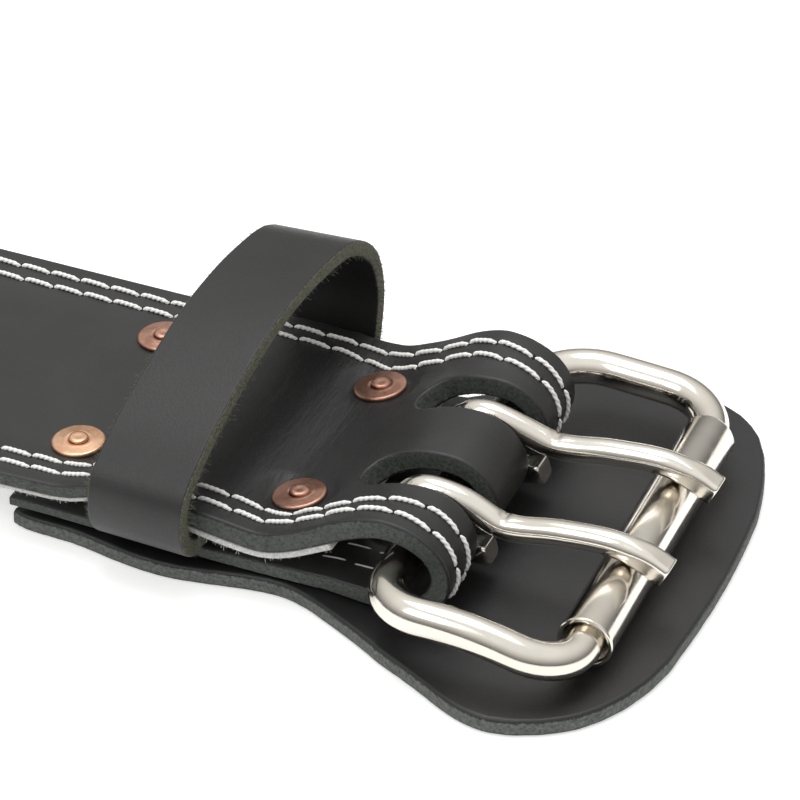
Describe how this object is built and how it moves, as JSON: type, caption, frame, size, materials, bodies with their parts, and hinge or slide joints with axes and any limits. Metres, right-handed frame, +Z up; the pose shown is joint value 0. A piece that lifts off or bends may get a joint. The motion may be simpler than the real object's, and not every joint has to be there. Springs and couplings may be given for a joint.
{
  "type": "leather weightlifting belt",
  "caption": "Tapered leather lifting belt lying open and flat, with a roller buckle on wire prongs, a shaped pad under the buckle and a keeper loop.",
  "frame": {"origin": "on the surface that the belt lies on, under the middle of the whole belt's length and width", "axes": "+X along the belt towards the buckle, +Y across the belt, +Z up from the table through the finished side"},
  "size_m": [1.079, 0.1058, 0.0386],
  "materials": {
    "black_leather": "matt, fine grain, raw grey-green edges",
    "pale_suede": "napped, undyed",
    "copper": "brushed, slightly browned copper",
    "nickel_steel": "bright nickel plate"
  },
  "bodies": {
    "root": {"belt_strap": "black_leather", "lining": "pale_suede", "buckle_pad": "black_leather", "keeper_loop": "black_leather", "rivet_1": "copper", "burr_1": "copper", "rivet_2": "copper", "burr_2": "copper", "rivet_3": "copper", "burr_3": "copper", "rivet_4": "copper", "burr_4": "copper"},
    "frame": {"buckle_frame": "nickel_steel"},
    "roller": {"roller": "nickel_steel"},
    "near_prong": {"prong_1": "nickel_steel"},
    "far_prong": {"prong_2": "nickel_steel"}
  },
  "joints": [
    {"name": "frame_swing", "type": "hinge", "parent": "root", "child": "frame", "pos_m": [0.4905, -0.0019, 0.0134], "axis": [0, -1, 0], "range_deg": [0, 60]},
    {"name": "roller_spin", "type": "hinge", "parent": "frame", "child": "roller", "pos_m": [0.5257, -0.0019, 0.0099], "axis": [0.0071, -0.9996, -0.026], "continuous": true},
    {"name": "near_prong_swing", "type": "hinge", "parent": "frame", "child": "near_prong", "pos_m": [0.4905, -0.01575, 0.0134], "axis": [0, -1, 0], "range_deg": [0, 65]},
    {"name": "far_prong_swing", "type": "hinge", "parent": "frame", "child": "far_prong", "pos_m": [0.4905, 0.00965, 0.0134], "axis": [0, -1, 0], "range_deg": [0, 65]}
  ]
}
